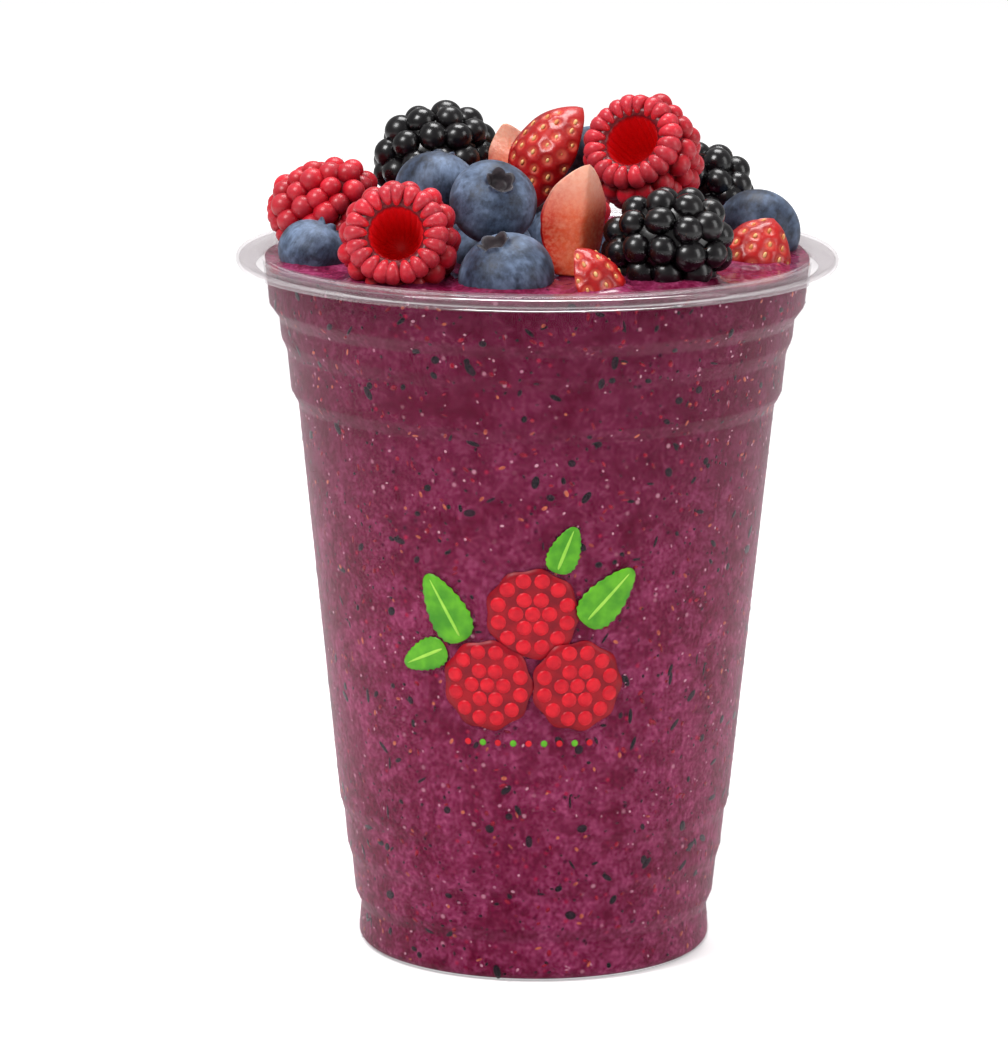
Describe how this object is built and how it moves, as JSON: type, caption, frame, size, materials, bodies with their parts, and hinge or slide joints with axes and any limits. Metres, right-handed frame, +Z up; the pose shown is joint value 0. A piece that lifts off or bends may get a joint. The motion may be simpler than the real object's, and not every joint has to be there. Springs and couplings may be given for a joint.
{
  "type": "berry smoothie in a cup",
  "caption": "Clear stepped plastic cup filled to its rolled rim with thick berry smoothie, heaped with fresh berries and cut strawberry.",
  "frame": {"origin": "on the cup's axis, at the middle of the foot ring's lowest plane", "axes": "+Z up along the cup's axis, -Y towards the front of the heap, +X to its right"},
  "size_m": [0.098, 0.098, 0.1419],
  "materials": {
    "clear_plastic": "clear, thin, glossy",
    "smoothie": "wet, thick, speckled",
    "blueberry": "dark skin under a pale bloom",
    "raspberry": "soft satin skin with fine down",
    "bramble": "wet black skin",
    "strawberry": "glossy skin and moist cut flesh",
    "print_red": "thin printed ink",
    "print_green": "thin printed ink"
  },
  "bodies": {
    "root": {"cup": "clear_plastic", "smoothie": "smoothie", "blueberry_front": "blueberry", "strawberry_back": "strawberry", "blueberry_back_left": "blueberry", "blueberry_back": "blueberry", "bramble_back": "bramble", "blueberry_left": "blueberry", "raspberry_back": "raspberry", "blueberry_inner_left": "blueberry", "blueberry_inner_right": "blueberry", "blueberry_inner_front": "blueberry", "strawberry_front": "strawberry", "strawberry_right": "strawberry", "blueberry_right": "blueberry", "raspberry_front": "raspberry", "blueberry_inner": "blueberry", "bramble_front": "bramble", "bramble_right": "bramble", "raspberry_left": "raspberry", "strawberry_middle": "strawberry", "blueberry_upper": "blueberry", "blueberry_middle": "blueberry", "blueberry_top": "blueberry", "strawberry_top": "strawberry", "bramble_left": "bramble", "raspberry_top": "raspberry", "strawberry_slice": "strawberry"}
  },
  "joints": []
}
